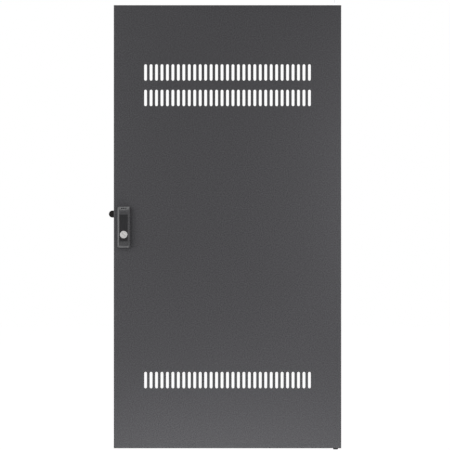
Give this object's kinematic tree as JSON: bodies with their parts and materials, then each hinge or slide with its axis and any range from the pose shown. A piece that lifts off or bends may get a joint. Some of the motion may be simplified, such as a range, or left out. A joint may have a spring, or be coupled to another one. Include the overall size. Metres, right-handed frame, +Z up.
{
  "type": "slotted rack door",
  "caption": "Folded steel door for a server rack with rows of upright ventilation slots, a swing handle lock with a cranked cam, a sprung upper hinge pin and a lower hinge bush.",
  "frame": {"origin": "on the hinge axis, at the lower face of the lower hinge bush, where the door's weight rests on the frame's hinge pin", "axes": "+X to the right seen from the front, the front faces -Y, +Z up along the hinge axis"},
  "size_m": [0.5117, 0.0416, 0.989],
  "materials": {
    "powder_coat": "fine-textured matt black powder coat",
    "handle_coat": "smooth satin black coat on die-cast zinc",
    "inlay_black": "glossy black insert plate",
    "chromed": "satin nickel",
    "zinc_plate": "bright zinc plate",
    "spring_steel": "drawn spring wire",
    "black_nylon": "moulded black nylon"
  },
  "bodies": {
    "door": {"door_panel": "powder_coat", "upper_hinge_bracket": "powder_coat", "lower_hinge_bracket": "powder_coat", "lower_hinge_bush": "black_nylon", "upper_pin_spring": "spring_steel", "lock_housing": "handle_coat", "mounting_clamp": "zinc_plate", "mounting_screw_upper": "zinc_plate", "mounting_screw_lower": "zinc_plate"},
    "hinge_pin": {"upper_hinge_pin": "zinc_plate", "upper_spring_washer": "zinc_plate", "upper_pin_clip": "spring_steel"},
    "spindle": {"spindle": "zinc_plate", "stop_plate": "zinc_plate", "latch_cam": "zinc_plate", "cam_cover": "black_nylon", "cam_washer": "zinc_plate", "cam_screw": "zinc_plate"},
    "lever": {"handle_lever": "handle_coat", "handle_inlay": "inlay_black", "lever_pivot_pin": "zinc_plate", "lock_cylinder": "chromed", "lever_back_plate": "zinc_plate", "back_plate_screws": "zinc_plate"},
    "plug": {"cylinder_plug": "chromed"},
    "bolt": {"lock_bolt": "zinc_plate"}
  },
  "joints": [
    {"name": "handle_swing", "type": "hinge", "parent": "door", "child": "spindle", "pos_m": [-0.4658, -0.012, 0.518], "axis": [0, -1, 0], "range_deg": [0, 90]},
    {"name": "lever_tilt", "type": "hinge", "parent": "spindle", "child": "lever", "pos_m": [-0.4658, -0.0196, 0.527], "axis": [-1, 0, 0], "range_deg": [0, 35]},
    {"name": "key_turn", "type": "hinge", "parent": "lever", "child": "plug", "pos_m": [-0.4658, -0.02, 0.4728], "axis": [0, 1, 0], "range_deg": [0, 90]},
    {"name": "bolt_slide", "type": "slide", "parent": "lever", "child": "bolt", "axis": [0, 0, -1], "range_m": [0, 0.00311]},
    {"name": "upper_pin_slide", "type": "slide", "parent": "door", "child": "hinge_pin", "axis": [0, 0, 1], "range_m": [-0.013, 0], "stiffness_N_per_m": 800, "springref_m": 0.01, "deforming": ["upper_pin_spring"]}
  ],
  "couplings": [
    {"joint": "key_turn", "follows": "bolt_slide", "rad_per_m": 505}
  ]
}
